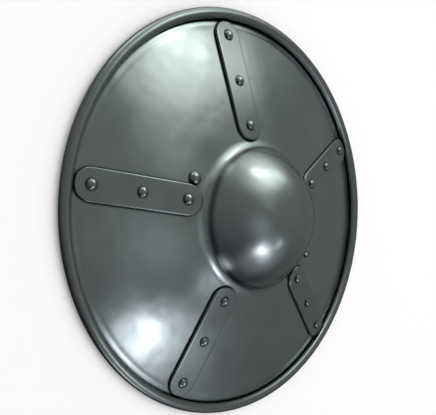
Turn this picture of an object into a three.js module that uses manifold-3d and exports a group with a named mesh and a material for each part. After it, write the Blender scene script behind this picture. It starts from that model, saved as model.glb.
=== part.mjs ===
// A round steel buckler, lying on its rolled rim with the boss up.
// Millimetres, +Z up. The origin is on the shield's axis, in the plane that the rim rests on.
// The grip behind the boss runs along X.
import * as THREE from "three";
import { mergeVertices } from "three/addons/utils/BufferGeometryUtils.js";
import Module from "manifold-3d";

const wasm = await Module();
wasm.setup();

// ---- driving dimensions ----

// plate, boss and rolled rim: one sheet of steel
const SHIELD_RADIUS = 152.4;
const SHEET = 1.5; // thickness of the plate
const BEAD_RADIUS = 3.8; // the rim is rolled to this outer radius
const REST_FLAT = 2.4; // width of the flat that the rim has worn underneath
const CONE_SLOPE = THREE.MathUtils.degToRad(12.5);
const CONE_RADIUS = 100; // where the height of the cone is given
const CONE_HEIGHT = 11.7; // front of the plate there
const FLARE_RADIUS = 58; // the cone ends and the fillet round the boss begins
const DOME_TOP = 60.4; // crown of the boss
const DOME_BREADTH = 67.9; // the boss is turned from an ellipse of this level half axis
const DOME_DEPTH = 96.3; // and this upright one
const DOME_FOOT = 25.8; // the boss meets its fillet at this height

// radial straps
const STRAP_COUNT = 5;
const STRAP_START = THREE.MathUtils.degToRad(50.65); // direction of the first strap
const STRAP_WIDTH = 21.5;
const STRAP_THICK = 2;
const STRAP_RIVET_RADII = [67.8, 99.9, 132.7];
const STRAP_SKEW = [3.7, 0, 2.6, 2.9, 0].map(THREE.MathUtils.degToRad); // each strap's small slant

// rivets
const STRAP_RIVET = { head: 4, rise: 2.9, shank: 2.25, tail: 3.3, tailRise: 1.4 };
const GRIP_RIVET = { head: 5, rise: 3.6, shank: 2.75, tail: 4.2, tailRise: 1.8 };
const TAIL_FACE = 0.75; // flat end of a tail, as a share of its radius
const TAIL_BEVEL = 0.6; // height of the slant round it, as a share of the tail's
const DRILL_LENGTH = 30; // reaches through whatever a rivet holds

// grip
const GRIP_RIVET_RADIUS = 66.2;
const PALM_WIDTH = 20; // flat ends that the rivets hold
const PALM_THICK = 3;
const PALM_MARGIN = 10; // from the rivet to the rounded end
const PALM_START = 56; // each palm begins at this radius
const PALM_ROUND = 0.93; // share of a quarter turn that the rounded end makes
const HAND_LENGTH = 84; // the oval stretch that the hand holds
const HAND_WIDTH = 25;
const HAND_THICK = 15;
const HAND_HEIGHT = 15.5; // height of the oval stretch's centre line
const HAND_TAPER = 0.16; // the oval is this much slimmer at its ends

const SQUARED = 0.6; // how far a palm's section goes from an oval towards a rectangle

const GAP = 0.3; // between pieces that touch

// how finely the round shapes are cut
const PLATE_SIDES = 56;
const RIVET_SIDES = 10;
const GRIP_SIDES = 12;
const DOME_STEPS = 7;
const FLARE_STEPS = 3;
const BEAD_STEPS = { over: 6, under: 3 }; // either side of the rim's widest line
const HEAD_STEPS = 3;
const GRIP_STEPS = { hand: 3, neck: 4, palm: 4 };
const MERGE = 1e-4; // points nearer than this are one

// ---- finishes ----

const polishedSteel = () =>
  new THREE.MeshStandardMaterial({ color: 0x7f8686, roughness: 0.28, metalness: 1 });
const strapSteel = () =>
  new THREE.MeshStandardMaterial({ color: 0x787f7f, roughness: 0.32, metalness: 1 });
const rivetSteel = () =>
  new THREE.MeshStandardMaterial({ color: 0x8a8f8f, roughness: 0.22, metalness: 1 });
const forgedSteel = () =>
  new THREE.MeshStandardMaterial({ color: 0x5d6262, roughness: 0.5, metalness: 1 });

// ---- small tools ----

const v2 = (x, y) => new THREE.Vector2(x, y);
const v3 = (x, y, z) => new THREE.Vector3(x, y, z);

// A closed mesh as a solid, placed by a matrix.
function solidOf(geometry, matrix = new THREE.Matrix4()) {
  const bare = geometry.clone().applyMatrix4(matrix);
  bare.deleteAttribute("normal");
  bare.deleteAttribute("uv");
  const merged = mergeVertices(bare, MERGE);
  return new wasm.Manifold(
    new wasm.Mesh({
      numProp: 3,
      vertProperties: merged.attributes.position.array,
      triVerts: new Uint32Array(merged.index.array),
    }),
  );
}

function geometryOf(solid) {
  const mesh = solid.getMesh();
  const geometry = new THREE.BufferGeometry();
  geometry.setAttribute("position", new THREE.BufferAttribute(mesh.vertProperties, 3));
  geometry.setIndex(new THREE.BufferAttribute(mesh.triVerts, 1));
  geometry.computeVertexNormals();
  return geometry;
}

function piece(name, geometry, material) {
  const mesh = new THREE.Mesh(geometry, material);
  mesh.name = name;
  return mesh;
}

// Points on an arc in the profile plane, both ends included.
function arc(centreR, centreZ, radius, from, to, steps) {
  const points = [];
  for (let i = 0; i <= steps; i++) {
    const angle = from + ((to - from) * i) / steps;
    points.push(v2(centreR + radius * Math.cos(angle), centreZ + radius * Math.sin(angle)));
  }
  return points;
}

// A LatheGeometry turns about Y; this stands its axis on Z.
const turned = (profile, sides) =>
  new THREE.LatheGeometry(profile, sides).rotateX(Math.PI / 2);

// ---- shield plate ----

const coneFront = (r) => CONE_HEIGHT - Math.tan(CONE_SLOPE) * (r - CONE_RADIUS);
const beadR = SHIELD_RADIUS - BEAD_RADIUS;

// The plate's profile offset back from its front by a depth, from the axis out to the rim bead.
function plateLine(depth) {
  const along = v2(Math.cos(CONE_SLOPE), -Math.sin(CONE_SLOPE));
  const back = v2(-Math.sin(CONE_SLOPE), -Math.cos(CONE_SLOPE)).multiplyScalar(depth);
  const centreZ = DOME_TOP - DOME_DEPTH;
  const foot = Math.acos((DOME_FOOT - centreZ) / DOME_DEPTH);
  const off = v2(0, 1); // square to the ellipse, outwards
  const dome = [];
  for (let i = 0; i <= DOME_STEPS; i++) {
    const turn = (foot * i) / DOME_STEPS;
    const on = v2(DOME_BREADTH * Math.sin(turn), centreZ + DOME_DEPTH * Math.cos(turn));
    off.set(Math.sin(turn) / DOME_BREADTH, Math.cos(turn) / DOME_DEPTH).normalize();
    dome.push(on.addScaledVector(off, -depth));
  }

  // fillet from the foot of the dome to the cone, a parabola tangent to both
  const start = dome[dome.length - 1];
  const end = v2(FLARE_RADIUS, coneFront(FLARE_RADIUS)).add(back);
  const down = v2(off.y, -off.x);
  const reach =
    ((end.x - start.x) * along.y - (end.y - start.y) * along.x) /
    (down.x * along.y - down.y * along.x);
  const corner = start.clone().addScaledVector(down, reach);
  const bezier = new THREE.QuadraticBezierCurve(start, corner, end);
  const flare = bezier.getPoints(FLARE_STEPS).slice(1);

  // the cone runs straight out, and flattens into the underside of the rim bead
  const rimEnd = v2(beadR, SHEET - depth);
  const drop = end.y - rimEnd.y;
  const slope = Math.tan(CONE_SLOPE);
  const bend = (slope * (rimEnd.x - end.x) - drop) / (slope / 2);
  const bendR = rimEnd.x - bend;
  const bendZ = end.y - slope * (bendR - end.x);
  const flatten = [0, 0.5].map((t) =>
    v2(bendR + t * bend, bendZ - slope * bend * (t - (t * t) / 2)),
  );
  return [...dome, ...flare, ...flatten, rimEnd];
}

function shieldPlate(holes) {
  const front = plateLine(0);
  const back = plateLine(SHEET);
  // the bead is a full round that starts in the crease at the plate's front
  const creaseAngle = Math.PI + Math.asin((BEAD_RADIUS - SHEET) / BEAD_RADIUS);
  const flatAngle = -Math.PI / 2 + Math.asin(REST_FLAT / 2 / BEAD_RADIUS);
  const bead = [
    ...arc(beadR, BEAD_RADIUS, BEAD_RADIUS, creaseAngle, 0, BEAD_STEPS.over),
    ...arc(beadR, BEAD_RADIUS, BEAD_RADIUS, 0, flatAngle, BEAD_STEPS.under).slice(1),
  ];
  const rest = [v2(beadR + REST_FLAT / 2, 0), v2(beadR - REST_FLAT / 2, 0)];
  const profile = [
    ...front.slice(0, -1),
    ...bead.slice(0, -1),
    ...rest,
    ...back.slice(0, -1).reverse(),
  ];
  profile[0].x = 0;
  profile[profile.length - 1].x = 0;
  // the lathe wants its profile from the bottom up for faces that point out
  let plate = solidOf(turned(profile.reverse(), PLATE_SIDES));
  for (const hole of holes) plate = plate.subtract(hole);
  return geometryOf(plate);
}

// ---- where things sit on the cone ----

// A frame on the front of the cone: x outwards down the slope, y round the shield, z off the face.
function seat(radius, angle) {
  const level = v3(Math.cos(angle), Math.sin(angle), 0);
  const round = v3(-Math.sin(angle), Math.cos(angle), 0);
  const out = level.clone().multiplyScalar(Math.cos(CONE_SLOPE)).setZ(-Math.sin(CONE_SLOPE));
  const off = out.clone().cross(round);
  return new THREE.Matrix4()
    .makeBasis(out, round, off)
    .setPosition(level.multiplyScalar(radius).setZ(coneFront(radius)));
}

const lifted = (matrix, x, z) =>
  matrix.clone().multiply(new THREE.Matrix4().makeTranslation(x, 0, z));

// ---- rivets ----

// The head sits at z = 0 on top of the stack that the rivet holds, and the tail below it.
function rivetShape(size, stack) {
  const headRadius = (size.head ** 2 + size.rise ** 2) / (2 * size.rise);
  const headEdge = Math.asin((headRadius - size.rise) / headRadius);
  const head = arc(0, size.rise - headRadius, headRadius, headEdge, Math.PI / 2, HEAD_STEPS);
  head[head.length - 1].x = 0;
  const tailTop = -stack - 2 * GAP;
  return turned(
    [
      v2(0, tailTop - size.tailRise),
      v2(size.tail * TAIL_FACE, tailTop - size.tailRise),
      v2(size.tail, tailTop - size.tailRise * (1 - TAIL_BEVEL)),
      v2(size.tail, tailTop),
      v2(size.shank, tailTop),
      v2(size.shank, 0),
      ...head,
    ],
    RIVET_SIDES,
  );
}

// The hole for a rivet's shank.
function shankHole(size, matrix) {
  const radius = size.shank + GAP;
  const hole = new THREE.CylinderGeometry(radius, radius, DRILL_LENGTH, RIVET_SIDES);
  return solidOf(hole.rotateX(Math.PI / 2), matrix);
}

// ---- straps ----

// A flat bar with round ends about its first and last rivets, lying along x.
function strapShape() {
  const [inner, middle, outer] = STRAP_RIVET_RADII.map((r) => r / Math.cos(CONE_SLOPE));
  const half = STRAP_WIDTH / 2;
  const outline = new THREE.Shape();
  outline.absarc(outer - middle, 0, half, -Math.PI / 2, Math.PI / 2);
  outline.absarc(inner - middle, 0, half, Math.PI / 2, Math.PI * 1.5);
  for (const r of [inner, middle, outer]) {
    const hole = new THREE.Path();
    hole.absarc(r - middle, 0, STRAP_RIVET.shank + GAP, 0, Math.PI * 2, true);
    outline.holes.push(hole);
  }
  return new THREE.ExtrudeGeometry(outline, {
    depth: STRAP_THICK,
    bevelEnabled: false,
    curveSegments: RIVET_SIDES / 2,
  });
}

// ---- grip ----

// A closed skin through rings of equal length, with its two ends filled.
function loft(rings) {
  const count = rings[0].length;
  const points = rings.flat();
  const faces = [];
  for (let i = 0; i + 1 < rings.length; i++) {
    for (let j = 0; j < count; j++) {
      const a = i * count + j;
      const b = i * count + ((j + 1) % count);
      faces.push(a, b, a + count, b, b + count, a + count);
    }
  }
  const last = (rings.length - 1) * count;
  for (let j = 1; j + 1 < count; j++) {
    faces.push(0, j + 1, j);
    faces.push(last, last + j, last + j + 1);
  }
  const geometry = new THREE.BufferGeometry().setFromPoints(points);
  geometry.setIndex(faces);
  return geometry;
}

// One cross-section: an oval that fills out towards a rectangle as squareness rises from 0 to 1.
function gripRing(x, z, tilt, width, thick, squareness) {
  const ring = [];
  const power = 1 - SQUARED * squareness;
  const bow = (value) => Math.sign(value) * Math.abs(value) ** power;
  for (let j = 0; j < GRIP_SIDES; j++) {
    const angle = (2 * Math.PI * (j + 0.5)) / GRIP_SIDES;
    const across = (width / 2) * bow(Math.cos(angle));
    const up = (thick / 2) * bow(Math.sin(angle));
    ring.push(v3(x + up * Math.sin(tilt), across, z + up * Math.cos(tilt)));
  }
  return ring;
}

function gripShape() {
  const mix = THREE.MathUtils.lerp;
  const handEnd = HAND_LENGTH / 2;
  const palmEnd = GRIP_RIVET_RADIUS + PALM_MARGIN;
  // the palms lie against the back of the cone, whose curve takes the second gap
  const palmZ = (x) => coneFront(x) - (SHEET + 2 * GAP + PALM_THICK / 2) / Math.cos(CONE_SLOPE);
  const side = [];
  for (let i = 0; i <= GRIP_STEPS.hand; i++) {
    // swelling of the hand's stretch, from its middle to its end
    const t = i / GRIP_STEPS.hand;
    const swell = 1 - HAND_TAPER * t * t;
    side.push([handEnd * t, HAND_HEIGHT, 0, HAND_WIDTH * swell, HAND_THICK * swell, 0]);
  }
  for (let i = 1; i <= GRIP_STEPS.neck; i++) {
    // neck from the oval to the flat palm
    const t = i / GRIP_STEPS.neck;
    const ease = t * t * (3 - 2 * t);
    side.push([
      mix(handEnd, PALM_START, t),
      mix(HAND_HEIGHT, palmZ(PALM_START), ease),
      CONE_SLOPE * ease,
      mix(HAND_WIDTH * (1 - HAND_TAPER), PALM_WIDTH, ease),
      mix(HAND_THICK * (1 - HAND_TAPER), PALM_THICK, ease),
      ease,
    ]);
  }
  for (let i = 0; i <= GRIP_STEPS.palm; i++) {
    // straight palm, then its round end
    const angle = (Math.PI / 2) * PALM_ROUND * (i / GRIP_STEPS.palm);
    const x = palmEnd - PALM_MARGIN * (1 - Math.sin(angle));
    side.push([x, palmZ(x), CONE_SLOPE, PALM_WIDTH * Math.cos(angle), PALM_THICK, 1]);
  }
  const mirrored = side
    .slice(1)
    .reverse()
    .map(([x, z, tilt, ...rest]) => [-x, z, -tilt, ...rest]);
  return loft([...mirrored, ...side].map((station) => gripRing(...station)));
}

// ---- assembly ----

const buckler = new THREE.Group();
const holes = [];
const strapStack = SHEET + GAP + STRAP_THICK;

for (let i = 0; i < STRAP_COUNT; i++) {
  const angle = STRAP_START + (i * 2 * Math.PI) / STRAP_COUNT;
  const middle = seat(STRAP_RIVET_RADII[1], angle);
  const place = middle.multiply(new THREE.Matrix4().makeRotationZ(STRAP_SKEW[i]));
  const strap = piece("strap_" + (i + 1), strapShape(), strapSteel());
  strap.applyMatrix4(lifted(place, 0, GAP));
  buckler.add(strap);
  ["inner", "middle", "outer"].forEach((name, k) => {
    const along = (STRAP_RIVET_RADII[k] - STRAP_RIVET_RADII[1]) / Math.cos(CONE_SLOPE);
    const shape = rivetShape(STRAP_RIVET, strapStack);
    const rivet = piece("strap_rivet_" + (i + 1) + "_" + name, shape, rivetSteel());
    rivet.applyMatrix4(lifted(place, along, 2 * GAP + STRAP_THICK));
    buckler.add(rivet);
    holes.push(shankHole(STRAP_RIVET, lifted(place, along, 0)));
  });
}

let grip = solidOf(gripShape());
for (const [name, angle] of [["right", 0], ["left", Math.PI]]) {
  const place = seat(GRIP_RIVET_RADIUS, angle);
  const shape = rivetShape(GRIP_RIVET, SHEET + 2 * GAP + PALM_THICK);
  const rivet = piece("grip_rivet_" + name, shape, rivetSteel());
  rivet.applyMatrix4(lifted(place, 0, GAP));
  buckler.add(rivet);
  const hole = shankHole(GRIP_RIVET, place);
  holes.push(hole);
  grip = grip.subtract(hole);
}
buckler.add(piece("grip", geometryOf(grip), forgedSteel()));
buckler.add(piece("shield_plate", shieldPlate(holes), polishedSteel()));

export default buckler;
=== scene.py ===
"""A round steel buckler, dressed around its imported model.

Laid out as a Blender add-on and run as a script. Metres; +Z runs out of the boss and X along the grip.
"""

import math

import bmesh
import bpy
from bpy.props import FloatProperty, IntProperty, PointerProperty, StringProperty
from mathutils import Matrix, Vector


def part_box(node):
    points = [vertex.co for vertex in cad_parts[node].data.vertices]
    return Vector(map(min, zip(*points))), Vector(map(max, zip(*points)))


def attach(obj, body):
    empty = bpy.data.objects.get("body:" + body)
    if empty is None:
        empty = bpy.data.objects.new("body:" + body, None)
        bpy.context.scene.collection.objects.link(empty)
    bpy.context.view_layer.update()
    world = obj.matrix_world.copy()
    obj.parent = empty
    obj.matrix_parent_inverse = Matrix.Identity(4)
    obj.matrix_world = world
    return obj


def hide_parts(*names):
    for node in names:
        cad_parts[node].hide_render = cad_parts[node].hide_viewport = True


bl_info = {
    "name": "Buckler",
    "version": (1, 0, 0),
    "blender": (4, 5, 0),
    "location": "View3D > Sidebar > Buckler",
    "description": "Dresses a steel hand shield: plate, straps, rivets and grip",
    "category": "Object",
}

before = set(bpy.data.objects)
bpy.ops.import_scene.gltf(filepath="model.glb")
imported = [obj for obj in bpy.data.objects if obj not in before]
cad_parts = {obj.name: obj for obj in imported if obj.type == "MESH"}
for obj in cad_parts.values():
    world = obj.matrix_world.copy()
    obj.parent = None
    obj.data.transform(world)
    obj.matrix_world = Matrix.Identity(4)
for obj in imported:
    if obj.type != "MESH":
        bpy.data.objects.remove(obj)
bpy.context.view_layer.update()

MM = 0.001
BODY = "root"
PLATE_LOW, PLATE_HIGH = (Vector(corner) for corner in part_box("shield_plate"))
SHIELD_RADIUS = PLATE_HIGH.x
SHIELD_HEIGHT = PLATE_HIGH.z
STRAP_COUNT = 5
RIVET_PLACES = ("inner", "middle", "outer")
GRIP_SIDES = ("left", "right")

CALM_RADIUS = SHIELD_RADIUS - 12 * MM  # hammering stops here, so the rim rests flat
SHARP_ANGLE = math.radians(38)  # edges sharper than this stay crisp
MERGE = 0.001 * MM
CREASE_RADIUS = 51.8 * MM  # the boss meets its fillet here
SEAT_GAPS = 0.6 * MM  # the two gaps between plate, palm and rivet tail

# a rivet's shank radius, and its tail's radius and height
STRAP_SHANK = (2.25 * MM, 3.3 * MM, 1.4 * MM)
GRIP_SHANK = (2.75 * MM, 4.2 * MM, 1.8 * MM)
STRAP_SINK = 0.25 * MM  # a strap's underside lies this far into the plate's face

# half of the grip, from its middle out
GRIP_TAPER = 0.16  # the oval is this much slimmer at its ends
PALM_START = 56 * MM
PALM_MARGIN = 10 * MM
PALM_ROUND = 0.98  # share of a quarter turn that the rounded end makes
PALM_SQUARED = 0.72  # how far a palm's section goes from an oval towards a rectangle
WHEEL_TURN = math.radians(20)  # the polishing wheel ran 20 degrees off the grip's cross line

# how finely the round shapes are cut
DOME_STEPS = 34
FLARE_STEPS = 16
CONE_STEPS = 32
RING_STEPS = 14
BEND_STEPS = 10
BEAD_STEPS = 22
RIVET_TURNS = 32
HEAD_STEPS = 12
TAIL_STEPS = 6
STRAP_END_STEPS, STRAP_SIDE_STEPS, STRAP_EDGE_STEPS = 20, 26, 4
HAND_STEPS, NECK_STEPS, PALM_STEPS = 24, 16, 18
GRIP_RING_SIDES = 40


def hex_to_linear(code):
    """An sRGB hex colour such as '#8A8F8F' as linear red, green and blue."""
    values = [int(code.lstrip("#")[i : i + 2], 16) / 255 for i in (0, 2, 4)]
    return tuple(v / 12.92 if v <= 0.04045 else ((v + 0.055) / 1.055) ** 2.4 for v in values)


# ---- settings ----


class BucklerPlate(bpy.types.PropertyGroup):
    """The raised plate, its boss and its rolled rim."""

    sheet: FloatProperty(
        name="Sheet", description="Thickness of the plate", default=1.5 * MM, unit="LENGTH"
    )
    bead_radius: FloatProperty(
        name="Rim roll", description="Outer radius of the rolled rim", default=3.8 * MM, unit="LENGTH"
    )
    rest_flat: FloatProperty(
        name="Worn flat", description="Width of the flat under the rim", default=2.4 * MM, unit="LENGTH"
    )
    cone_slope: FloatProperty(
        name="Cone slope",
        description="Slope of the plate round the boss",
        default=math.radians(12.5),
        subtype="ANGLE",
    )
    cone_radius: FloatProperty(
        name="Cone radius",
        description="Radius at which the cone's height is given",
        default=100 * MM,
        unit="LENGTH",
    )
    cone_height: FloatProperty(
        name="Cone height", description="Height of the plate's front there", default=11.7 * MM, unit="LENGTH"
    )
    flare_radius: FloatProperty(
        name="Flare radius",
        description="Radius at which the fillet round the boss ends",
        default=60 * MM,
        unit="LENGTH",
    )
    dome_breadth: FloatProperty(
        name="Boss breadth",
        description="Level half axis of the ellipse that the boss is turned from",
        default=67.9 * MM,
        unit="LENGTH",
    )
    dome_depth: FloatProperty(
        name="Boss depth",
        description="Upright half axis of the ellipse that the boss is turned from",
        default=96.3 * MM,
        unit="LENGTH",
    )
    dome_foot: FloatProperty(
        name="Boss foot",
        description="Height at which the boss meets its fillet",
        default=25.8 * MM,
        unit="LENGTH",
    )
    ring_radius: FloatProperty(
        name="Ring radius",
        description="Radius of the shallow ring pressed inside the rim",
        default=140.5 * MM,
        unit="LENGTH",
    )
    ring_width: FloatProperty(
        name="Ring width", description="Half width of that ring", default=1.6 * MM, unit="LENGTH"
    )
    ring_depth: FloatProperty(
        name="Ring depth", description="Depth of that ring", default=0.16 * MM, unit="LENGTH"
    )
    turns: IntProperty(name="Turns", description="Facets round the plate", default=340)
    ripple: FloatProperty(
        name="Ripple", description="How far planishing sinks the face", default=0.3 * MM, unit="LENGTH"
    )
    ripple_size: FloatProperty(
        name="Ripple size", description="Distance between planishing hollows", default=38 * MM, unit="LENGTH"
    )
    colour: StringProperty(name="Front", description="sRGB colour of the polished front", default="#B7BBBB")
    back_colour: StringProperty(name="Back", description="sRGB colour of the satin back", default="#8C9090")


class BucklerStraps(bpy.types.PropertyGroup):
    """The radial straps."""

    width: FloatProperty(name="Width", description="Width of a strap", default=21.5 * MM, unit="LENGTH")
    thick: FloatProperty(
        name="Thickness", description="Height of a strap's top over the plate", default=2.3 * MM, unit="LENGTH"
    )
    edge: FloatProperty(
        name="Edge", description="Radius of a strap's softened edge", default=0.8 * MM, unit="LENGTH"
    )
    colour: StringProperty(name="Steel", description="sRGB colour of the strap steel", default="#B0B4B4")


class BucklerRivets(bpy.types.PropertyGroup):
    """The strap rivets and the two larger grip rivets."""

    head: FloatProperty(
        name="Strap head", description="Radius of a strap rivet's head", default=4 * MM, unit="LENGTH"
    )
    rise: FloatProperty(
        name="Strap head height", description="Height of a strap rivet's head", default=2.9 * MM, unit="LENGTH"
    )
    grip_head: FloatProperty(
        name="Grip head", description="Radius of a grip rivet's head", default=5 * MM, unit="LENGTH"
    )
    grip_rise: FloatProperty(
        name="Grip head height", description="Height of a grip rivet's head", default=3.6 * MM, unit="LENGTH"
    )
    spread: FloatProperty(
        name="Spread", description="Share by which hand-set heads differ in size", default=0.05
    )
    seed: IntProperty(name="Seed", description="Seed of the small differences", default=7)
    colour: StringProperty(name="Steel", description="sRGB colour of the rivets", default="#B4B8B8")


class BucklerGrip(bpy.types.PropertyGroup):
    """The forged bar that the hand holds."""

    palm_width: FloatProperty(
        name="Palm width", description="Width of the flat ends", default=20 * MM, unit="LENGTH"
    )
    palm_thick: FloatProperty(
        name="Palm thickness", description="Thickness of the flat ends", default=3 * MM, unit="LENGTH"
    )
    hand_length: FloatProperty(
        name="Hand length", description="Length of the oval stretch", default=84 * MM, unit="LENGTH"
    )
    hand_thick: FloatProperty(
        name="Hand thickness", description="Thickness of the oval stretch", default=15 * MM, unit="LENGTH"
    )
    hand_height: FloatProperty(
        name="Hand height", description="Height of its centre line", default=15.5 * MM, unit="LENGTH"
    )
    colour: StringProperty(name="Steel", description="sRGB colour of the forged steel", default="#7D8182")


# ---- node trees ----


def add(tree, kind, inputs=None, **settings):
    """Adds a node. settings are its own properties; inputs are values, or sockets to link, by name or number."""
    node = tree.nodes.new(kind)
    for name, value in settings.items():
        setattr(node, name, value)
    for key, value in (inputs or {}).items():
        if isinstance(value, bpy.types.NodeSocket):
            tree.links.new(value, node.inputs[key])
        else:
            node.inputs[key].default_value = value
    return node


def geometry_tree(name, sockets):
    """A geometry tree with a Geometry in and out and these further inputs, and its input node's outputs."""
    tree = bpy.data.node_groups.new(name, "GeometryNodeTree")
    tree.interface.new_socket("Geometry", in_out="INPUT", socket_type="NodeSocketGeometry")
    tree.interface.new_socket("Geometry", in_out="OUTPUT", socket_type="NodeSocketGeometry")
    for label, kind in sockets:
        tree.interface.new_socket(label, in_out="INPUT", socket_type="NodeSocket" + kind)
    return tree, add(tree, "NodeGroupInput").outputs


def surface_tree():
    """Sinks a shape's face by soft hammer hollows, keeps its crisp edges, and gives it its steel."""
    tree, given = geometry_tree(
        "Buckler surface",
        [("Ripple", "Float"), ("Ripple size", "Float"), ("Material", "Material"), ("Back", "Material")],
    )
    place = add(tree, "GeometryNodeInputPosition").outputs[0]
    per_metre = add(tree, "ShaderNodeMath", {0: 1.0, 1: given["Ripple size"]}, operation="DIVIDE")
    hollow = add(tree, "ShaderNodeTexNoise", {"Vector": place, "Scale": per_metre.outputs[0], "Detail": 1.5})
    depth = add(
        tree,
        "ShaderNodeMapRange",
        {0: hollow.outputs[0], 1: 0.25, 2: 0.75, 3: -1.0, 4: 0.0},
    )
    flat = add(tree, "ShaderNodeVectorMath", {0: place, 1: (1, 1, 0)}, operation="MULTIPLY").outputs[0]
    radius = add(tree, "ShaderNodeVectorMath", {0: flat}, operation="LENGTH").outputs["Value"]
    calm = add(
        tree,
        "ShaderNodeMapRange",
        {0: radius, 1: CALM_RADIUS - 12 * MM, 2: CALM_RADIUS, 3: 1.0, 4: 0.0},
        interpolation_type="SMOOTHSTEP",
    )
    amount = add(tree, "ShaderNodeMath", {0: depth.outputs[0], 1: calm.outputs[0]}, operation="MULTIPLY")
    sunk = add(tree, "ShaderNodeMath", {0: amount.outputs[0], 1: given["Ripple"]}, operation="MULTIPLY")
    normal = add(tree, "GeometryNodeInputNormal").outputs[0]
    offset = add(tree, "ShaderNodeVectorMath", {0: normal, "Scale": sunk.outputs[0]}, operation="SCALE")
    moved = add(tree, "GeometryNodeSetPosition", {"Geometry": given["Geometry"], "Offset": offset.outputs[0]})
    smooth = add(tree, "GeometryNodeSetShadeSmooth", {0: moved.outputs[0]}, domain="FACE")
    angle = add(tree, "GeometryNodeInputMeshEdgeAngle").outputs[0]
    sharp = add(tree, "FunctionNodeCompare", {0: angle, 1: SHARP_ANGLE}, operation="GREATER_THAN")
    crisp = add(
        tree,
        "GeometryNodeSetShadeSmooth",
        {0: smooth.outputs[0], "Selection": sharp.outputs[0], "Shade Smooth": False},
        domain="EDGE",
    )
    real = add(tree, "GeometryNodeRealizeInstances", {0: crisp.outputs[0]})
    steel = add(tree, "GeometryNodeSetMaterial", {0: real.outputs[0], "Material": given["Material"]})
    facing = add(tree, "ShaderNodeSeparateXYZ", {0: normal}).outputs["Z"]
    behind = add(tree, "FunctionNodeCompare", {0: facing, 1: -0.3}, operation="LESS_THAN")
    inside = add(tree, "FunctionNodeCompare", {0: radius, 1: SHIELD_RADIUS - 7 * MM}, operation="LESS_THAN")
    hidden = add(tree, "FunctionNodeBooleanMath", {0: behind.outputs[0], 1: inside.outputs[0]})
    backed = add(
        tree,
        "GeometryNodeSetMaterial",
        {0: steel.outputs[0], "Selection": hidden.outputs[0], "Material": given["Back"]},
    )
    add(tree, "NodeGroupOutput", {0: backed.outputs[0]})
    return tree


def turning_tree(surface):
    """Turns a profile of points in the XZ plane about Z into a closed solid."""
    tree, given = geometry_tree(
        "Buckler turning",
        [
            ("Turns", "Int"),
            ("Ripple", "Float"),
            ("Ripple size", "Float"),
            ("Material", "Material"),
            ("Back", "Material"),
        ],
    )
    count = add(tree, "GeometryNodeAttributeDomainSize", {0: given["Geometry"]}).outputs["Point Count"]
    rows = add(tree, "ShaderNodeMath", {0: given["Turns"], 1: 1.0}).outputs[0]
    grid = add(tree, "GeometryNodeMeshGrid", {"Vertices X": count, "Vertices Y": rows})
    index = add(tree, "GeometryNodeInputIndex").outputs[0]
    along = add(tree, "ShaderNodeMath", {0: index, 1: rows}, operation="DIVIDE").outputs[0]
    station = add(tree, "ShaderNodeMath", {0: along}, operation="FLOOR").outputs[0]
    turn = add(tree, "ShaderNodeMath", {0: index, 1: rows}, operation="MODULO").outputs[0]
    share = add(tree, "ShaderNodeMath", {0: turn, 1: given["Turns"]}, operation="DIVIDE").outputs[0]
    angle = add(tree, "ShaderNodeMath", {0: share, 1: 2 * math.pi}, operation="MULTIPLY").outputs[0]
    point = add(
        tree,
        "GeometryNodeSampleIndex",
        {0: given["Geometry"], "Value": add(tree, "GeometryNodeInputPosition").outputs[0], "Index": station},
        data_type="FLOAT_VECTOR",
    )
    turned = add(tree, "ShaderNodeVectorRotate", {"Vector": point.outputs[0], "Angle": angle})
    placed = add(tree, "GeometryNodeSetPosition", {0: grid.outputs[0], "Position": turned.outputs[0]})
    closed = add(tree, "GeometryNodeMergeByDistance", {0: placed.outputs[0], "Distance": MERGE})
    dressed = add(tree, "GeometryNodeGroup", node_tree=surface)
    tree.links.new(closed.outputs[0], dressed.inputs["Geometry"])
    for label in ("Ripple", "Ripple size", "Material", "Back"):
        tree.links.new(given[label], dressed.inputs[label])
    add(tree, "NodeGroupOutput", {0: dressed.outputs[0]})
    return tree


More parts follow.
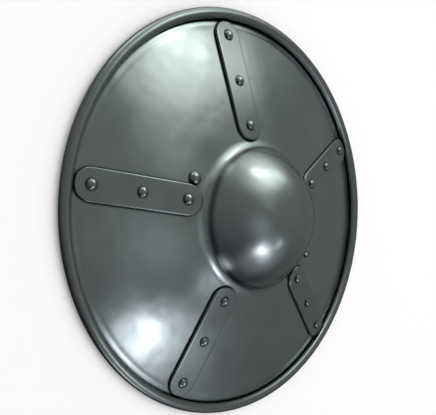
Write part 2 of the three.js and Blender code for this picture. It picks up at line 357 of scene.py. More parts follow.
def setting_tree(surface):
    """Sets a shape out on points that carry its outward and upward directions, each a little different."""
    tree, given = geometry_tree(
        "Buckler setting out",
        [
            ("Shape", "Object"),
            ("Spin", "Float"),
            ("Spread", "Float"),
            ("Seed", "Int"),
            ("Ripple", "Float"),
            ("Ripple size", "Float"),
            ("Material", "Material"),
            ("Back", "Material"),
        ],
    )
    off = add(tree, "GeometryNodeInputNamedAttribute", {"Name": "off"}, data_type="FLOAT_VECTOR")
    out = add(tree, "GeometryNodeInputNamedAttribute", {"Name": "out"}, data_type="FLOAT_VECTOR")
    facing = add(
        tree,
        "FunctionNodeAxesToRotation",
        {0: off.outputs[0], 1: out.outputs[0]},
        primary_axis="Z",
        secondary_axis="X",
    )
    less = add(tree, "ShaderNodeMath", {0: 0.0, 1: given["Spin"]}, operation="SUBTRACT").outputs[0]
    spin = add(tree, "FunctionNodeRandomValue", {2: less, 3: given["Spin"], "Seed": given["Seed"]})
    about = add(tree, "ShaderNodeCombineXYZ", {"Z": spin.outputs[1]})
    turn = add(tree, "FunctionNodeEulerToRotation", {0: about.outputs[0]})
    turned = add(
        tree,
        "FunctionNodeRotateRotation",
        {0: facing.outputs[0], 1: turn.outputs[0]},
        rotation_space="LOCAL",
    )
    least = add(tree, "ShaderNodeMath", {0: 1.0, 1: given["Spread"]}, operation="SUBTRACT").outputs[0]
    next_seed = add(tree, "ShaderNodeMath", {0: given["Seed"], 1: 1.0}).outputs[0]
    size = add(tree, "FunctionNodeRandomValue", {2: least, 3: 1.0, "Seed": next_seed})
    shape = add(tree, "GeometryNodeObjectInfo", {0: given["Shape"], "As Instance": True})
    copies = add(
        tree,
        "GeometryNodeInstanceOnPoints",
        {
            "Points": given["Geometry"],
            "Instance": shape.outputs["Geometry"],
            "Rotation": turned.outputs[0],
            "Scale": size.outputs[1],
        },
    )
    real = add(tree, "GeometryNodeRealizeInstances", {0: copies.outputs[0]})
    dressed = add(tree, "GeometryNodeGroup", node_tree=surface)
    tree.links.new(real.outputs[0], dressed.inputs["Geometry"])
    for label in ("Ripple", "Ripple size", "Material", "Back"):
        tree.links.new(given[label], dressed.inputs[label])
    add(tree, "NodeGroupOutput", {0: dressed.outputs[0]})
    return tree


def trees():
    """The node trees by name, made on first use."""
    if "Buckler surface" not in bpy.data.node_groups:
        surface = surface_tree()
        turning_tree(surface)
        setting_tree(surface)
    return {kind: bpy.data.node_groups["Buckler " + kind] for kind in ("surface", "turning", "setting out")}


def grown(name, mesh, tree, **inputs):
    """An object whose mesh is what the tree makes of this one. Underscores in input names stand for spaces."""
    obj = bpy.data.objects.new(name, mesh)
    bpy.context.scene.collection.objects.link(obj)
    modifier = obj.modifiers.new(name, "NODES")
    modifier.node_group = tree
    sockets = {i.name: i.identifier for i in tree.interface.items_tree if i.in_out == "INPUT"}
    for label, value in inputs.items():
        modifier[sockets[label.replace("_", " ").capitalize()]] = value
    bpy.context.view_layer.update()
    depsgraph = bpy.context.evaluated_depsgraph_get()
    made = bpy.data.meshes.new_from_object(
        obj.evaluated_get(depsgraph), preserve_all_data_layers=True, depsgraph=depsgraph
    )
    obj.modifiers.remove(modifier)
    obj.data = made
    if not made.polygons:
        raise RuntimeError(name + " came out empty")
    face_outwards(made)
    return obj


def face_outwards(mesh):
    """Closes a mesh's seams and turns its faces out."""
    work = bmesh.new()
    work.from_mesh(mesh)
    bmesh.ops.remove_doubles(work, verts=work.verts, dist=MERGE)
    bmesh.ops.recalc_face_normals(work, faces=work.faces)
    work.to_mesh(mesh)
    work.free()


def hand_over(piece, slot, *nodes):
    """Gives a finished piece its body and hides the nodes that it stands for. The slot is not used."""
    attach(piece, BODY)
    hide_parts(*nodes)


def point_mesh(name, points, **directions):
    """A mesh of loose points, each with named direction vectors."""
    mesh = bpy.data.meshes.new(name)
    mesh.from_pydata([tuple(p) for p in points], [], [])
    for label, vectors in directions.items():
        attribute = mesh.attributes.new(label, "FLOAT_VECTOR", "POINT")
        attribute.data.foreach_set("vector", [c for v in vectors for c in v])
    return mesh


def profile_mesh(name, profile):
    return point_mesh(name, [(p.x, 0, p.y) for p in profile])


def discard(obj):
    mesh = obj.data
    bpy.data.objects.remove(obj)
    bpy.data.meshes.remove(mesh)


# ---- steels ----


def steel(name, colour, metallic=1.0, roughness=0.3):
    """A bare metal, with its tree, its shader and its Object coordinates."""
    material = bpy.data.materials.new(name)
    material.use_nodes = True
    tree = material.node_tree
    shader = tree.nodes["Principled BSDF"]
    shader.inputs["Base Color"].default_value = (*hex_to_linear(colour), 1)
    shader.inputs["Metallic"].default_value = metallic
    shader.inputs["Roughness"].default_value = roughness
    place = add(tree, "ShaderNodeTexCoord").outputs["Object"]
    return material, tree, shader, place


def ring_distance(tree, place):
    """Distance from the shield's axis."""
    flat = add(tree, "ShaderNodeVectorMath", {0: place, 1: (1, 1, 0)}, operation="MULTIPLY").outputs[0]
    return add(tree, "ShaderNodeVectorMath", {0: flat}, operation="LENGTH").outputs["Value"]


def painted_crevice_shade(tree, shader, colour, open_from=0.62, open_to=0.88, reach=2.4 * MM):
    """Paints shade into a base colour where surfaces meet: the less open a point is by ambient occlusion, the
    nearer to black it is.
    """
    open_share = add(tree, "ShaderNodeAmbientOcclusion", {"Distance": reach}, samples=6).outputs["AO"]
    unshaded = add(
        tree,
        "ShaderNodeMapRange",
        {0: open_share, 1: open_from, 2: open_to, 3: 0.0, 4: 1.0},
        interpolation_type="SMOOTHSTEP",
    ).outputs[0]
    crevice_shaded = add(
        tree,
        "ShaderNodeMix",
        {0: unshaded, 6: (*hex_to_linear("#0E0F0E"), 1), 7: colour},
        data_type="RGBA",
    ).outputs[2]
    tree.links.new(crevice_shaded, shader.inputs["Base Color"])


def wheel_marks(tree, place):
    """Marks of the polishing wheel, straight across the whole shield: 1.5 mm apart, so that they show."""
    turned = add(tree, "ShaderNodeMapping", {"Vector": place, "Rotation": (0, 0, WHEEL_TURN)}).outputs[0]
    swept = add(tree, "ShaderNodeVectorMath", {0: turned, 1: (670, 30, 30)}, operation="MULTIPLY").outputs[0]
    return add(tree, "ShaderNodeTexNoise", {"Vector": swept, "Scale": 1.0, "Detail": 3.0}).outputs[0]


def polished_plate_steel(colour):
    """Cold-rolled mild steel, raised and belt-polished: a soft mirror, clouded where it was handled."""
    material, tree, shader, place = steel("polished_plate_steel", colour)
    # handling leaves soft patches 20 mm across where the polish is duller
    patches = add(
        tree, "ShaderNodeTexNoise", {"Vector": place, "Scale": 32.0, "Detail": 2.0, "Roughness": 0.45}
    ).outputs[0]
    marks = wheel_marks(tree, place)
    dull = add(tree, "ShaderNodeMapRange", {0: patches, 1: 0.3, 2: 0.7, 3: 0.15, 4: 0.24}).outputs[0]
    lined = add(tree, "ShaderNodeMapRange", {0: marks, 1: 0.3, 2: 0.7, 3: -0.01, 4: 0.015}).outputs[0]
    mirror = add(tree, "ShaderNodeMath", {0: dull, 1: lined}).outputs[0]
    # the rim was rolled after polishing, so it is duller and drawn into fine rings
    radius = ring_distance(tree, place)
    on_rim = add(
        tree,
        "ShaderNodeMapRange",
        {0: radius, 1: SHIELD_RADIUS - 8 * MM, 2: SHIELD_RADIUS - 6 * MM, 3: 0.0, 4: 1.0},
    ).outputs[0]
    rough = add(tree, "ShaderNodeMix", {0: on_rim, 2: mirror, 3: 0.27}).outputs[0]
    tree.links.new(rough, shader.inputs["Roughness"])
    tint = add(
        tree,
        "ShaderNodeMix",
        {0: patches, 6: (*hex_to_linear("#AAAFB0"), 1), 7: (*hex_to_linear(colour), 1)},
        data_type="RGBA",
    ).outputs[2]
    worn = add(
        tree,
        "ShaderNodeMix",
        {0: on_rim, 6: tint, 7: (*hex_to_linear("#9DA2A2"), 1)},
        data_type="RGBA",
    ).outputs[2]
    # painted shade: the base colour darkens towards black in a band round the crease at the foot of the boss
    off_crease = add(tree, "ShaderNodeMath", {0: radius, 1: CREASE_RADIUS}, operation="SUBTRACT").outputs[0]
    away = add(tree, "ShaderNodeMath", {0: off_crease}, operation="ABSOLUTE").outputs[0]
    unshaded = add(
        tree,
        "ShaderNodeMapRange",
        {0: away, 1: 0.0, 2: 2.2 * MM, 3: 0.35, 4: 1.0},
        interpolation_type="SMOOTHSTEP",
    ).outputs[0]
    crease_shaded = add(
        tree,
        "ShaderNodeMix",
        {0: unshaded, 6: (*hex_to_linear("#0E0F0E"), 1), 7: worn},
        data_type="RGBA",
    ).outputs[2]
    # painted shade on the plate: in the rim's groove and beside the straps, rivets and grip
    painted_crevice_shade(tree, shader, crease_shaded)
    height = add(tree, "ShaderNodeSeparateXYZ", {0: place}).outputs["Z"]
    ringed = add(tree, "ShaderNodeCombineXYZ", {0: radius, 1: height}).outputs[0]
    rings = add(tree, "ShaderNodeTexNoise", {"Vector": ringed, "Scale": 1300.0, "Detail": 1.0}).outputs[0]
    drawn = add(tree, "ShaderNodeMath", {0: rings, 1: on_rim}, operation="MULTIPLY").outputs[0]
    ring_bump = add(tree, "ShaderNodeBump", {"Strength": 0.5, "Distance": 0.12 * MM, "Height": drawn}).outputs[0]
    mark_bump = add(
        tree, "ShaderNodeBump", {"Strength": 0.1, "Distance": 0.02 * MM, "Height": marks, "Normal": ring_bump}
    ).outputs[0]
    cloud_bump = add(
        tree, "ShaderNodeBump", {"Strength": 1.0, "Distance": 0.7 * MM, "Height": patches, "Normal": mark_bump}
    ).outputs[0]
    tree.links.new(cloud_bump, shader.inputs["Normal"])
    return material


def satin_back_steel(colour):
    """The back of the same sheet, left as raised: satin, with dull hammer patches and a trace of tarnish."""
    material, tree, shader, place = steel("satin_back_steel", colour, roughness=0.46)
    blows = add(tree, "ShaderNodeTexVoronoi", {"Vector": place, "Scale": 90.0}, feature="SMOOTH_F1").outputs[0]
    cloud = add(tree, "ShaderNodeTexNoise", {"Vector": place, "Scale": 45.0, "Detail": 5.0}).outputs[0]
    rough = add(tree, "ShaderNodeMapRange", {0: cloud, 1: 0.3, 2: 0.7, 3: 0.4, 4: 0.56}).outputs[0]
    tree.links.new(rough, shader.inputs["Roughness"])
    tint = add(
        tree,
        "ShaderNodeMix",
        {0: cloud, 6: (*hex_to_linear("#6E706E"), 1), 7: (*hex_to_linear(colour), 1)},
        data_type="RGBA",
    ).outputs[2]
    tree.links.new(tint, shader.inputs["Base Color"])
    bump = add(tree, "ShaderNodeBump", {"Strength": 0.6, "Distance": 0.12 * MM, "Height": blows})
    tree.links.new(bump.outputs[0], shader.inputs["Normal"])
    return material


def strap_strip_steel(colour):
    """Bright-drawn steel strip, polished with the plate: the same soft mirror, with a faint grain."""
    material, tree, shader, place = steel("strap_strip_steel", colour)
    patches = add(tree, "ShaderNodeTexNoise", {"Vector": place, "Scale": 70.0, "Detail": 3.0}).outputs[0]
    dull = add(tree, "ShaderNodeMapRange", {0: patches, 1: 0.3, 2: 0.7, 3: 0.18, 4: 0.25}).outputs[0]
    tree.links.new(dull, shader.inputs["Roughness"])
    tint = add(
        tree,
        "ShaderNodeMix",
        {0: patches, 6: (*hex_to_linear("#A3A7A7"), 1), 7: (*hex_to_linear(colour), 1)},
        data_type="RGBA",
    ).outputs[2]
    # painted shade along each strap's edges where it meets the plate, and round its rivets
    painted_crevice_shade(tree, shader, tint)
    return material


def burnished_rivet_steel(colour):
    """Soft steel rivets, domed with a snap and burnished: the brightest metal, with shallow facets."""
    material, tree, shader, place = steel("burnished_rivet_steel", colour)
    facets = add(tree, "ShaderNodeTexNoise", {"Vector": place, "Scale": 420.0, "Detail": 1.0}).outputs[0]
    rough = add(tree, "ShaderNodeMapRange", {0: facets, 1: 0.3, 2: 0.7, 3: 0.06, 4: 0.1}).outputs[0]
    tree.links.new(rough, shader.inputs["Roughness"])
    bump = add(tree, "ShaderNodeBump", {"Strength": 0.12, "Distance": 0.1 * MM, "Height": facets})
    tree.links.new(bump.outputs[0], shader.inputs["Normal"])
    tint = add(
        tree,
        "ShaderNodeMix",
        {0: facets, 6: (*hex_to_linear("#9EA2A2"), 1), 7: (*hex_to_linear(colour), 1)},
        data_type="RGBA",
    ).outputs[2]
    # painted shade round each rivet's foot, darkest where the head meets the strap
    painted_crevice_shade(tree, shader, tint, open_from=0.78, open_to=1.0, reach=3 * MM)
    return material


def forged_grip_steel(colour):
    """A hammered bar, filed and wire-brushed: darker and satin, with scale left in its low spots."""
    material, tree, shader, place = steel("forged_grip_steel", colour, roughness=0.45)
    scale = add(tree, "ShaderNodeTexNoise", {"Vector": place, "Scale": 160.0, "Detail": 6.0}).outputs[0]
    left = add(tree, "ShaderNodeMapRange", {0: scale, 1: 0.42, 2: 0.62, 3: 0.0, 4: 1.0}).outputs[0]
    tint = add(
        tree,
        "ShaderNodeMix",
        {0: left, 6: (*hex_to_linear("#4A4846"), 1), 7: (*hex_to_linear(colour), 1)},
        data_type="RGBA",
    ).outputs[2]
    tree.links.new(tint, shader.inputs["Base Color"])
    rough = add(tree, "ShaderNodeMapRange", {0: left, 3: 0.62, 4: 0.4}).outputs[0]
    tree.links.new(rough, shader.inputs["Roughness"])
    bump = add(tree, "ShaderNodeBump", {"Strength": 0.5, "Distance": 0.2 * MM, "Height": scale})
    tree.links.new(bump.outputs[0], shader.inputs["Normal"])
    return material


# ---- profiles ----


def arc(centre, radius, start, end, steps):
    """Points on an arc of a profile, both ends included."""
    angles = [start + (end - start) * i / steps for i in range(steps + 1)]
    return [centre + radius * Vector((math.cos(a), math.sin(a))) for a in angles]


def cone_front(plate, radius):
    return plate.cone_height - math.tan(plate.cone_slope) * (radius - plate.cone_radius)


def plate_line(plate, depth):
    """The plate's profile offset back from its front by a depth, from the axis out to the rim roll."""
    slope = math.tan(plate.cone_slope)
    along = Vector((math.cos(plate.cone_slope), -math.sin(plate.cone_slope)))
    back = Vector((-math.sin(plate.cone_slope), -math.cos(plate.cone_slope))) * depth
    middle = SHIELD_HEIGHT - plate.dome_depth
    foot = math.acos((plate.dome_foot - middle) / plate.dome_depth)
    dome = []
    for i in range(DOME_STEPS + 1):
        turn = foot * i / DOME_STEPS
        on = Vector((plate.dome_breadth * math.sin(turn), middle + plate.dome_depth * math.cos(turn)))
        off = Vector((math.sin(turn) / plate.dome_breadth, math.cos(turn) / plate.dome_depth)).normalized()
        dome.append(on - off * depth)

    # fillet from the foot of the boss to the cone, a parabola tangent to both
    start = dome[-1]
    end = Vector((plate.flare_radius, cone_front(plate, plate.flare_radius))) + back
    down = Vector((off.y, -off.x))
    corner = start + down * ((end - start).cross(along) / down.cross(along))
    shares = [i / FLARE_STEPS for i in range(1, FLARE_STEPS)]
    flare = [start.lerp(corner, t).lerp(corner.lerp(end, t), t) for t in shares]

    # the cone runs straight out, and flattens into the underside of the rim roll
    rim_end = Vector((SHIELD_RADIUS - plate.bead_radius, plate.sheet - depth))
    bend = (slope * (rim_end.x - end.x) - (end.y - rim_end.y)) / (slope / 2)
    turn = end + along * ((rim_end.x - bend - end.x) / along.x)
    band = end + along * ((plate.ring_radius - 3 * plate.ring_width - end.x) / along.x)
    cone = [end.lerp(band, i / CONE_STEPS) for i in range(CONE_STEPS)]
    cone += [band.lerp(turn, i / RING_STEPS) for i in range(RING_STEPS)]
    cone += [
        turn + Vector((t * bend, -slope * bend * (t - t * t / 2)))
        for t in (i / BEND_STEPS for i in range(BEND_STEPS + 1))
    ]
    for point in cone:
        share = (point.x - plate.ring_radius) / plate.ring_width
        point.y -= plate.ring_depth * math.exp(-share * share)
    return dome + flare + cone


def plate_profile(plate):
    """The whole section of plate and rim, from the crown round the rim and back to the axis."""
    bead = plate.bead_radius
    centre = Vector((SHIELD_RADIUS - bead, bead))
    crease = math.pi + math.asin((bead - plate.sheet) / bead)
    crease_radius = centre.x + bead * math.cos(crease)
    front = [p for p in plate_line(plate, 0) if p.x < crease_radius - 0.3 * MM]
    back = plate_line(plate, plate.sheet)[:-1]
    half_flat = plate.rest_flat / 2
    flat_angle = -math.acos(half_flat / bead)
    over = arc(centre, bead, crease, 0, BEAD_STEPS)
    under = arc(centre, bead, 0, flat_angle, BEAD_STEPS // 2)[1:-1]
    rest = [Vector((centre.x + half_flat, 0)), Vector((centre.x - half_flat, 0))]
    profile = front + over + under + rest + back[::-1]
    profile[0].x = 0
    profile[-1].x = 0
    return profile


# ---- pieces ----


class BUCKLER_OT_plate(bpy.types.Operator):
    """Turn the plate, its boss and its rolled rim as one sheet"""

    bl_idname = "buckler.plate"
    bl_label = "Plate"

    def execute(self, context):
        plate = context.scene.buckler_plate
        piece = grown(
            "shield_plate_steel",
            profile_mesh("plate_profile", plate_profile(plate)),
            trees()["turning"],
            turns=plate.turns,
            ripple=plate.ripple,
            ripple_size=plate.ripple_size,
            material=polished_plate_steel(plate.colour),
            back=satin_back_steel(plate.back_colour),
        )
        hand_over(piece, "plate_steel", "shield_plate")
        return {"FINISHED"}


def node_centre(name):
    low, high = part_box(name)
    return (Vector(low) + Vector(high)) / 2


def on_cone(plate, place):
    """A place's foot on the front of the cone, and the outward slope and the face's own direction there."""
    level = Vector((place.x, place.y, 0))
    level_out = level.normalized()
    slope = plate.cone_slope
    out = level_out * math.cos(slope) - Vector((0, 0, math.sin(slope)))
    off = level_out * math.sin(slope) + Vector((0, 0, math.cos(slope)))
    # a rivet leans with the face, so its middle stands outside the foot of its shank
    lean = (place.z - cone_front(plate, level.length)) * math.sin(slope) * math.cos(slope)
    foot = level_out * (level.length - lean)
    foot.z = cone_front(plate, foot.length)
    return foot, out, off


def strap_rivet(number, place):
    return f"strap_rivet_{number + 1}_{place}"


def strap_shape(straps, reach):
    """One strap about its middle rivet, along x: rings that step in from the outline to the spine."""
    half = straps.width / 2
    edge = straps.edge
    shares = (0.15, 0.4, 0.7, 1)  # of the half width, from the edge in
    rows = [(half * share, "under") for share in shares[::-1]]
    rows += [(0, "under"), (0, "wall")]
    rows += [(edge * (1 - math.cos(a)), edge * (1 - math.sin(a))) for a in quarter(STRAP_EDGE_STEPS)]
    rows += [(half * share, 0.0) for share in shares]
    work = bmesh.new()
    rings = []
    for inset, drop in rows:
        ring = []
        for x, y in stadium(half - inset, reach, STRAP_END_STEPS, STRAP_SIDE_STEPS):
            if drop == "under":
                z = -STRAP_SINK
            elif drop == "wall":
                z = straps.thick - edge
            else:
                z = straps.thick - drop
            ring.append(work.verts.new((x, y, z)))
        rings.append(ring)
    for lower, upper in zip(rings, rings[1:]):
        for i in range(len(lower)):
            j = (i + 1) % len(lower)
            work.faces.new((lower[i], lower[j], upper[j], upper[i]))
    bmesh.ops.remove_doubles(work, verts=work.verts, dist=MERGE)
    mesh = bpy.data.meshes.new("strap_shape")
    work.to_mesh(mesh)
    work.free()
    shape = bpy.data.objects.new("strap_shape", mesh)
    bpy.context.scene.collection.objects.link(shape)
    return shape


def quarter(steps):
    return [math.pi / 2 * i / steps for i in range(1, steps + 1)]


def stadium(radius, reach, end_steps, side_steps):
    """A flat bar's outline with full round ends, from x = reach[0] to reach[1]; a radius of 0 is its spine."""
    low, high = reach
    points = []
    for i in range(end_steps):
        angle = -math.pi / 2 + math.pi * i / end_steps
        points.append((high + radius * math.cos(angle), radius * math.sin(angle)))
    for i in range(side_steps):
        points.append((high + (low - high) * i / side_steps, radius))
    for i in range(end_steps):
        angle = math.pi / 2 + math.pi * i / end_steps
        points.append((low + radius * math.cos(angle), radius * math.sin(angle)))
    for i in range(side_steps):
        points.append((low + (high - low) * i / side_steps, -radius))
    return points


class BUCKLER_OT_straps(bpy.types.Operator):
    """Lay the radial straps on the plate, each along the line of its rivets"""

    bl_idname = "buckler.straps"
    bl_label = "Straps"

    def execute(self, context):
        plate = context.scene.buckler_plate
        straps = context.scene.buckler_straps
        feet, outs, offs = [], [], []
        reach = None
        for number in range(STRAP_COUNT):
            inner, middle, outer = (
                on_cone(plate, node_centre(strap_rivet(number, place))) for place in RIVET_PLACES
            )
            along = (outer[0] - inner[0]).normalized()
            feet.append(middle[0])
            outs.append(along)
            offs.append(middle[2])
            reach = ((inner[0] - middle[0]).dot(along), (outer[0] - middle[0]).dot(along))
        shape = strap_shape(straps, reach)
        material = strap_strip_steel(straps.colour)
        piece = grown(
            "radial_straps",
            point_mesh("strap_seats", feet, out=outs, off=offs),
            trees()["setting out"],
            shape=shape,
            spin=0.0,
            spread=0.0,
            ripple=0.05 * MM,
            ripple_size=30 * MM,
            material=material,
            back=material,
        )
        discard(shape)
        hand_over(piece, "strap_steel", *(f"strap_{i + 1}" for i in range(STRAP_COUNT)))
        return {"FINISHED"}


def rivet_profile(head, rise, shank, tail, tail_rise, stack):
    """A rivet about z, its head seated at z = 0 and its tail below the stack that it holds."""
    ball = (head**2 + rise**2) / (2 * rise)
    edge = math.asin((ball - rise) / ball)
    dome = arc(Vector((0, rise - ball)), ball, edge, math.pi / 2, HEAD_STEPS)
    crown = arc(Vector((0, -stack)), 1.0, -math.pi / 2, 0, TAIL_STEPS)
    foot = [Vector((p.x * tail, -stack + (p.y + stack) * tail_rise)) for p in crown]
    profile = foot + [Vector((shank, -stack)), Vector((shank, 0))] + dome
    profile[0].x = 0
    profile[-1].x = 0
    return profile


def set_rivets(context, name, profile, seats, nodes):
    """Turns one rivet and sets a copy at each seat."""
    rivets = context.scene.buckler_rivets
    material = bpy.data.materials.get("burnished_rivet_steel") or burnished_rivet_steel(rivets.colour)
    shape = grown(
        name + "_shape",
        profile_mesh(name + "_profile", profile),
        trees()["turning"],
        turns=RIVET_TURNS,
        ripple=0.0,
        ripple_size=1.0,
        material=material,
        back=material,
    )
    feet, outs, offs = zip(*seats)
    piece = grown(
        name,
        point_mesh(name + "_seats", feet, out=outs, off=offs),
        trees()["setting out"],
        shape=shape,
        spin=math.pi,
        spread=rivets.spread,
        seed=rivets.seed,
        ripple=0.05 * MM,
        ripple_size=4 * MM,
        material=material,
        back=material,
    )
    discard(shape)
    hand_over(piece, "rivet_steel", *nodes)


class BUCKLER_OT_strap_rivets(bpy.types.Operator):
    """Set three domed rivets through each strap"""

    bl_idname = "buckler.strap_rivets"
    bl_label = "Strap rivets"

    def execute(self, context):
        plate = context.scene.buckler_plate
        straps = context.scene.buckler_straps
        rivets = context.scene.buckler_rivets
        seats, nodes = [], []
        for number in range(STRAP_COUNT):
            for place in RIVET_PLACES:
                nodes.append(strap_rivet(number, place))
                foot, out, off = on_cone(plate, node_centre(nodes[-1]))
                seats.append((foot + off * straps.thick, out, off))
        stack = straps.thick + plate.sheet
        profile = rivet_profile(rivets.head, rivets.rise, *STRAP_SHANK, stack)
        set_rivets(context, "strap_rivets", profile, seats, nodes)
        return {"FINISHED"}


class BUCKLER_OT_grip_rivets(bpy.types.Operator):
    """Set the two larger rivets that hold the grip"""

    bl_idname = "buckler.grip_rivets"
    bl_label = "Grip rivets"

    def execute(self, context):
        plate = context.scene.buckler_plate
        rivets = context.scene.buckler_rivets
        grip = context.scene.buckler_grip
        nodes = ["grip_rivet_" + side for side in GRIP_SIDES]
        seats = [on_cone(plate, node_centre(node)) for node in nodes]
        stack = plate.sheet + grip.palm_thick + SEAT_GAPS
        profile = rivet_profile(rivets.grip_head, rivets.grip_rise, *GRIP_SHANK, stack)
        set_rivets(context, "grip_rivets", profile, seats, nodes)
        return {"FINISHED"}


def grip_stations(plate, grip):
    """Sections of half the grip from its middle out: x, z, tilt, width, thickness and squareness."""
    mix = lambda a, b, t: a + (b - a) * t
    low, high = (Vector(corner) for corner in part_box("grip"))
    hand_width = high.y - low.y
    hand_end = grip.hand_length / 2
    palm_end = high.x
    seat = plate.sheet + SEAT_GAPS + grip.palm_thick / 2
    palm_z = lambda x: cone_front(plate, x) - seat / math.cos(plate.cone_slope)
    stations = []
    for i in range(HAND_STEPS + 1):
        t = i / HAND_STEPS
        swell = 1 - GRIP_TAPER * t * t
        stations.append((hand_end * t, grip.hand_height, 0, hand_width * swell, grip.hand_thick * swell, 0))
    for i in range(1, NECK_STEPS + 1):
        t = i / NECK_STEPS
        ease = t * t * (3 - 2 * t)
        stations.append(
            (
                mix(hand_end, PALM_START, t),
                mix(grip.hand_height, palm_z(PALM_START), ease),
                plate.cone_slope * ease,
                mix(hand_width * (1 - GRIP_TAPER), grip.palm_width, ease),
                mix(grip.hand_thick * (1 - GRIP_TAPER), grip.palm_thick, ease),
                ease,
            )
        )
    for i in range(PALM_STEPS + 1):
        angle = math.pi / 2 * i / PALM_STEPS * PALM_ROUND
        x = palm_end - PALM_MARGIN * (1 - math.sin(angle))
        stations.append(
            (x, palm_z(x), plate.cone_slope, grip.palm_width * math.cos(angle), grip.palm_thick, 1)
        )
    return stations


def grip_ring(x, z, tilt, width, thick, squareness):
    """One section: an oval that fills out towards a rectangle as squareness rises from 0 to 1."""
    power = 1 - PALM_SQUARED * squareness
    bow = lambda value: math.copysign(abs(value) ** power, value)
    ring = []
    for j in range(GRIP_RING_SIDES):
        angle = 2 * math.pi * (j + 0.5) / GRIP_RING_SIDES
        up = thick / 2 * bow(math.sin(angle))
        ring.append((x + up * math.sin(tilt), width / 2 * bow(math.cos(angle)), z + up * math.cos(tilt)))
    return ring


class BUCKLER_OT_grip(bpy.types.Operator):
    """Draw the grip as one bar, an oval for the hand that flattens to a palm at each end"""

    bl_idname = "buckler.grip"
    bl_label = "Grip"

    def execute(self, context):
        plate = context.scene.buckler_plate
        grip = context.scene.buckler_grip
        half = grip_stations(plate, grip)
        other = [(-x, z, -tilt, *rest) for x, z, tilt, *rest in half[:0:-1]]
        rings = [grip_ring(*station) for station in other + half]
        mesh = bpy.data.meshes.new("grip_skin")
        sides = len(rings[0])
        faces = [
            (i * sides + j, i * sides + (j + 1) % sides, (i + 1) * sides + (j + 1) % sides, (i + 1) * sides + j)
            for i in range(len(rings) - 1)
            for j in range(sides)
        ]
        last = (len(rings) - 1) * sides
        faces += [tuple(range(sides)), tuple(range(last, last + sides))]
        mesh.from_pydata([p for ring in rings for p in ring], [], faces)
        face_outwards(mesh)
        material = forged_grip_steel(grip.colour)
        piece = grown(
            "grip_bar",
            mesh,
            trees()["surface"],
            ripple=0.25 * MM,
            ripple_size=7 * MM,
            material=material,
            back=material,
        )
        hand_over(piece, "forged_steel", "grip")
        return {"FINISHED"}


# ---- stage ----

CAMERA_PLACE = Vector((-0.26942, -0.11798, 0.30485))
CAMERA_RIGHT = Vector((0.688, 0.319, 0.652))
CAMERA_UP = Vector((-0.346, 0.934, -0.092))
CAMERA_LENS = 44.3
CAMERA_SHIFT = (0.0229, 0.1571)

# soft cards that the steel mirrors: middle in mm, half width and half height in mm, softness, strength,
# colour; most places and strengths come from a computer fit of the reflected tones, not from a layout by hand
COOL, WARM = "#EEF7FF", "#F2FFF8"
CARDS = {
    "card_left": ((-71, 194, 145), (57, 54), 0.95, 1.25, WARM),
    "card_left_core": ((-95, 200, 110), (20, 20), 0.9, 2.6, WARM),
    "card_left_near": ((-81, 77, 124), (28, 61), 0.95, 0.26, WARM),
    "card_right": ((46, -186, 193), (40, 39), 0.9, 1.7, COOL),
    "card_right_core": ((46, -176, 180), (13, 13), 0.9, 3.2, COOL),
    "plate_right_inner": ((79, -90, 178), (16, 20), 0.9, 0.7, COOL),
    "card_right_near": ((73, -152, 146), (24, 33), 0.95, 0.55, COOL),
    "card_above": ((-43, -57, 151), (40, 32), 0.95, 0.19, COOL),
    "far_left": ((-124, 458, 110), (344, 365), 0.67, 0.3, WARM),
    "far_right": ((716, -1200, 985), (680, 700), 0.95, 0.3, COOL),
    "wall_left": ((-178, 2085, 502), (700, 467), 0.95, 0.75, WARM),
    "rim_left": ((-215, 190, 20), (45, 22), 0.9, 1.9, WARM),
    "rim_right": ((-25, -285, 35), (50, 26), 0.9, 1.9, COOL),
    "strap_left": ((10, 240, 125), (35, 30), 0.9, 0.8, WARM),
    "boss_core_left": ((-53, 200, 108), (11, 11), 0.9, 2.0, WARM),
    "boss_core_right": ((23, -158, 183), (10, 10), 0.9, 2.4, COOL),
}
CARD_AIM = Vector((0, 0, 15 * MM))
ROOM_LIGHT = 0.145  # what the steel mirrors between the cards, lighter towards the left and above
ROOM_LEAN = (0, 0.065, 0.045)
ROOM_SHADE = (0, -0.8, -0.6)  # the room is darkest this way


def card_glow(name, softness, strength, colour):
    """Light that fades from the middle of a card to its edge."""
    material = bpy.data.materials.new(name)
    material.use_nodes = True
    tree = material.node_tree
    tree.nodes.clear()
    place = add(tree, "ShaderNodeTexCoord").outputs["Object"]
    away = add(tree, "ShaderNodeVectorMath", {0: place}, operation="LENGTH").outputs["Value"]
    glow = add(
        tree,
        "ShaderNodeMapRange",
        {0: away, 1: 1 - softness, 2: 1 + softness, 3: strength, 4: 0.0},
        interpolation_type="SMOOTHSTEP",
    ).outputs[0]
    light = add(tree, "ShaderNodeEmission", {"Color": (*hex_to_linear(colour), 1), "Strength": glow}).outputs[0]
    clear = add(tree, "ShaderNodeBsdfTransparent").outputs[0]
    add(tree, "ShaderNodeOutputMaterial", {0: add(tree, "ShaderNodeAddShader", {0: light, 1: clear}).outputs[0]})
    return material


def studio_card(name, middle, halves, softness, strength, colour):
    """A soft card that only mirrors see."""
    reach = 1 + softness
    corners = [(x * reach, y * reach, 0) for x, y in ((-1, -1), (1, -1), (1, 1), (-1, 1))]
    mesh = bpy.data.meshes.new(name)
    mesh.from_pydata(corners, [], [(0, 1, 2, 3)])
    mesh.materials.append(card_glow(name, softness, strength, colour))
    card = bpy.data.objects.new(name, mesh)
    place = Vector(middle) * MM
    card.location = place
    card.rotation_euler = (CARD_AIM - place).to_track_quat("Z", "Y").to_euler()
    card.scale = (halves[0] * MM, halves[1] * MM, 1)
    card.visible_camera = False
    card.visible_diffuse = False
    card.visible_shadow = False
    bpy.context.scene.collection.objects.link(card)


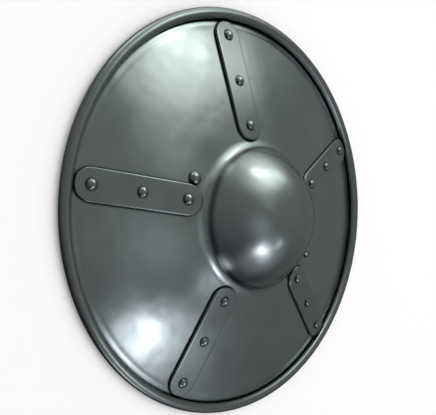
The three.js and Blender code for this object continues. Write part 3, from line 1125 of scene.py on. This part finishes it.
def studio_world():
    """Pale all round for the floor and the eye, and a dim room for what the steel mirrors."""
    world = bpy.data.worlds.new("studio")
    world.use_nodes = True
    tree = world.node_tree
    tree.nodes.clear()
    way = add(tree, "ShaderNodeTexCoord").outputs["Generated"]
    lean = add(tree, "ShaderNodeVectorMath", {0: way, 1: ROOM_LEAN}, operation="DOT_PRODUCT").outputs["Value"]
    lit = add(tree, "ShaderNodeMath", {0: lean, 1: ROOM_LIGHT}).outputs[0]
    low = add(tree, "ShaderNodeVectorMath", {0: way, 1: ROOM_SHADE}, operation="DOT_PRODUCT").outputs["Value"]
    shade = add(tree, "ShaderNodeMapRange", {0: low, 1: 0.2, 2: 0.6, 3: 0.0, 4: 0.05}).outputs[0]
    dim = add(tree, "ShaderNodeMath", {0: lit, 1: shade}, operation="SUBTRACT").outputs[0]
    across = add(tree, "ShaderNodeSeparateXYZ", {0: way}).outputs["Y"]
    warmth = add(tree, "ShaderNodeMapRange", {0: across, 1: -0.8, 2: 0.2}).outputs[0]
    tone = add(
        tree,
        "ShaderNodeMix",
        {0: warmth, 6: (*hex_to_linear(COOL), 1), 7: (*hex_to_linear(WARM), 1)},
        data_type="RGBA",
    ).outputs[2]
    mirrored = add(tree, "ShaderNodeBackground", {"Color": tone, "Strength": dim}).outputs[0]
    pale = add(tree, "ShaderNodeBackground", {"Color": (1, 1, 1, 1), "Strength": 0.85}).outputs[0]
    glossy = add(tree, "ShaderNodeLightPath").outputs["Is Glossy Ray"]
    mixed = add(tree, "ShaderNodeMixShader", {0: glossy, 1: pale, 2: mirrored}).outputs[0]
    add(tree, "ShaderNodeOutputWorld", {0: mixed})
    bpy.context.scene.world = world


class BUCKLER_OT_stage(bpy.types.Operator):
    """Lay the pale floor and set the studio light and the camera"""

    bl_idname = "buckler.stage"
    bl_label = "Stage"

    def execute(self, context):
        scene = context.scene
        bpy.ops.mesh.primitive_plane_add(size=12, location=(0, 0, -0.05 * MM))
        floor = context.object
        floor.name = "pale_floor"
        floor.visible_glossy = False
        paint = bpy.data.materials.new("pale_matt_paint")
        paint.use_nodes = True
        shader = paint.node_tree.nodes["Principled BSDF"]
        shader.inputs["Base Color"].default_value = (0.9, 0.9, 0.9, 1)
        shader.inputs["Roughness"].default_value = 1.0
        shader.inputs["Specular IOR Level"].default_value = 0.0
        floor.data.materials.append(paint)

        studio_world()
        for name, settings in CARDS.items():
            studio_card(name, *settings)
        lamp = bpy.data.lights.new("overhead_softbox", "AREA")
        lamp.energy = 10
        lamp.size = 1.6
        lamp.specular_factor = 0
        light = bpy.data.objects.new("overhead_softbox", lamp)
        light.location = (0.3, 0.5, 1.6)
        light.rotation_euler = (Vector((0, 0, 0)) - light.location).to_track_quat("-Z", "Y").to_euler()
        light.visible_camera = False
        light.visible_glossy = False
        scene.collection.objects.link(light)

        lens = bpy.data.cameras.new("camera")
        lens.lens = CAMERA_LENS
        lens.shift_x, lens.shift_y = CAMERA_SHIFT
        camera = bpy.data.objects.new("camera", lens)
        right = CAMERA_RIGHT.normalized()
        back = right.cross(CAMERA_UP).normalized()
        turn = Matrix((right, back.cross(right), back)).transposed()
        camera.matrix_world = Matrix.Translation(CAMERA_PLACE) @ turn.to_4x4()
        scene.collection.objects.link(camera)
        scene.camera = camera
        scene.view_settings.view_transform = "Standard"
        return {"FINISHED"}


# ---- panel and registration ----

STEPS = (
    BUCKLER_OT_plate,
    BUCKLER_OT_straps,
    BUCKLER_OT_strap_rivets,
    BUCKLER_OT_grip,
    BUCKLER_OT_grip_rivets,
    BUCKLER_OT_stage,
)
SETTINGS = {
    "buckler_plate": BucklerPlate,
    "buckler_straps": BucklerStraps,
    "buckler_rivets": BucklerRivets,
    "buckler_grip": BucklerGrip,
}


class BUCKLER_PT_sidebar(bpy.types.Panel):
    """The buckler's pieces and their sizes"""

    bl_idname = "BUCKLER_PT_sidebar"
    bl_label = "Buckler"
    bl_space_type = "VIEW_3D"
    bl_region_type = "UI"
    bl_category = "Buckler"

    def draw(self, context):
        for step in STEPS:
            self.layout.operator(step.bl_idname)
        for group in SETTINGS:
            box = self.layout.box()
            settings = getattr(context.scene, group)
            for name in settings.bl_rna.properties.keys():
                if name not in ("rna_type", "name"):
                    box.prop(settings, name)


def register():
    for cls in (*SETTINGS.values(), *STEPS, BUCKLER_PT_sidebar):
        bpy.utils.register_class(cls)
    for name, cls in SETTINGS.items():
        setattr(bpy.types.Scene, name, PointerProperty(type=cls))


def unregister():
    for name in SETTINGS:
        delattr(bpy.types.Scene, name)
    for cls in (BUCKLER_PT_sidebar, *STEPS[::-1], *SETTINGS.values()):
        bpy.utils.unregister_class(cls)


def main():
    register()
    for step in STEPS:
        group, name = step.bl_idname.split(".")
        getattr(getattr(bpy.ops, group), name)()


if __name__ == "__main__":
    main()
